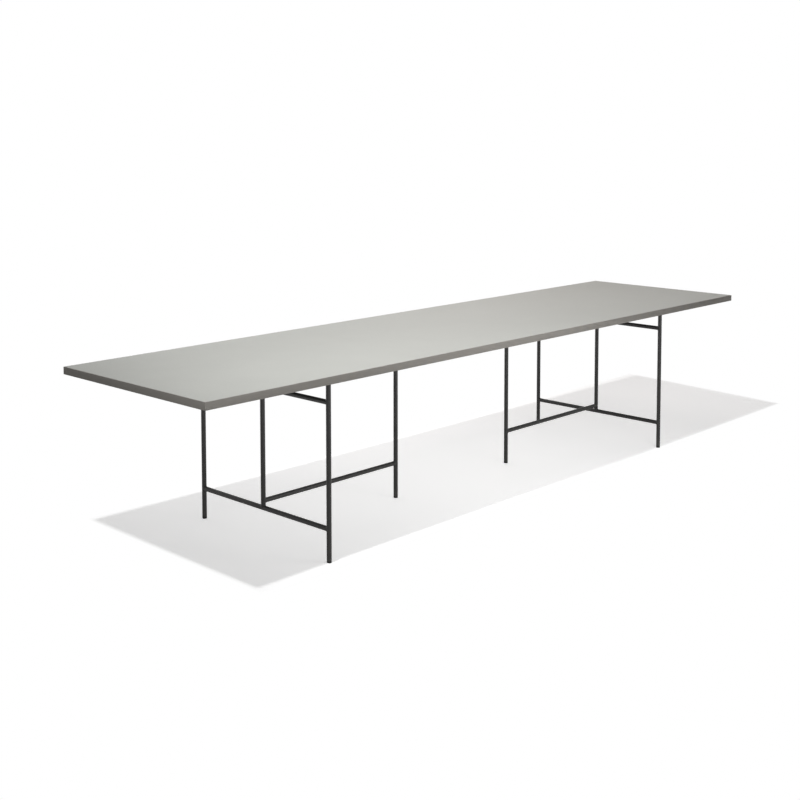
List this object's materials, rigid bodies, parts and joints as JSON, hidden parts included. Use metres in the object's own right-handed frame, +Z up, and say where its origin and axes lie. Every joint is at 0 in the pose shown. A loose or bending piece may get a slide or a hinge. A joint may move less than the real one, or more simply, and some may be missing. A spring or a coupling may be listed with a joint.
{
  "type": "conference table",
  "caption": "Long rectangular conference table: a matte grey linoleum slab on slim black round-tube frames, T-shaped in plan, standing on levelling feet.",
  "frame": {"origin": "on the floor under the middle of the slab", "axes": "+X along the length, front long edge towards -Y, +Z up"},
  "size_m": [3.6, 0.9, 0.74],
  "materials": {
    "linoleum": "matte pale grey furniture linoleum, finely mottled",
    "edge_strip": "satin mid-grey edge strip",
    "board": "raw pressed wood board",
    "backing": "matte grey balancing sheet",
    "frame_paint": "fine-textured satin black-grey powder coat on steel tube",
    "zinc_steel": "bright zinc-plated steel",
    "black_plastic": "moulded black nylon"
  },
  "bodies": {
    "table": {"top_linoleum": "linoleum", "top_core": "board", "top_backing": "backing", "edge_front": "edge_strip", "edge_back": "edge_strip", "edge_left": "edge_strip", "edge_right": "edge_strip", "left_leg_back": "frame_paint", "left_plate_back": "frame_paint", "left_screw_back_1": "zinc_steel", "left_screw_back_2": "zinc_steel", "left_foot_insert_back": "black_plastic", "left_leg_front": "frame_paint", "left_plate_front": "frame_paint", "left_screw_front_1": "zinc_steel", "left_screw_front_2": "zinc_steel", "left_foot_insert_front": "black_plastic", "left_leg_inner": "frame_paint", "left_plate_inner": "frame_paint", "left_screw_inner_1": "zinc_steel", "left_screw_inner_2": "zinc_steel", "left_foot_insert_inner": "black_plastic", "left_lower_cross_rail": "frame_paint", "left_upper_cross_rail": "frame_paint", "left_post": "frame_paint", "left_lower_stem_rail": "frame_paint", "left_upper_stem_rail": "frame_paint", "right_leg_back": "frame_paint", "right_plate_back": "frame_paint", "right_screw_back_1": "zinc_steel", "right_screw_back_2": "zinc_steel", "right_foot_insert_back": "black_plastic", "right_leg_front": "frame_paint", "right_plate_front": "frame_paint", "right_screw_front_1": "zinc_steel", "right_screw_front_2": "zinc_steel", "right_foot_insert_front": "black_plastic", "right_leg_inner": "frame_paint", "right_plate_inner": "frame_paint", "right_screw_inner_1": "zinc_steel", "right_screw_inner_2": "zinc_steel", "right_foot_insert_inner": "black_plastic", "right_lower_cross_rail": "frame_paint", "right_upper_cross_rail": "frame_paint", "right_post": "frame_paint", "right_lower_stem_rail": "frame_paint", "right_upper_stem_rail": "frame_paint"},
    "left_foot_back": {"left_foot_pad_back": "black_plastic", "left_foot_stud_back": "zinc_steel"},
    "left_foot_front": {"left_foot_pad_front": "black_plastic", "left_foot_stud_front": "zinc_steel"},
    "left_foot_inner": {"left_foot_pad_inner": "black_plastic", "left_foot_stud_inner": "zinc_steel"},
    "right_foot_back": {"right_foot_pad_back": "black_plastic", "right_foot_stud_back": "zinc_steel"},
    "right_foot_front": {"right_foot_pad_front": "black_plastic", "right_foot_stud_front": "zinc_steel"},
    "right_foot_inner": {"right_foot_pad_inner": "black_plastic", "right_foot_stud_inner": "zinc_steel"}
  },
  "joints": [
    {"name": "left_foot_back_level", "type": "slide", "parent": "table", "child": "left_foot_back", "axis": [0, 0, -1], "range_m": [0, 0.01]},
    {"name": "left_foot_front_level", "type": "slide", "parent": "table", "child": "left_foot_front", "axis": [0, 0, -1], "range_m": [0, 0.01]},
    {"name": "left_foot_inner_level", "type": "slide", "parent": "table", "child": "left_foot_inner", "axis": [0, 0, -1], "range_m": [0, 0.01]},
    {"name": "right_foot_back_level", "type": "slide", "parent": "table", "child": "right_foot_back", "axis": [0, 0, -1], "range_m": [0, 0.01]},
    {"name": "right_foot_front_level", "type": "slide", "parent": "table", "child": "right_foot_front", "axis": [0, 0, -1], "range_m": [0, 0.01]},
    {"name": "right_foot_inner_level", "type": "slide", "parent": "table", "child": "right_foot_inner", "axis": [0, 0, -1], "range_m": [0, 0.01]}
  ]
}
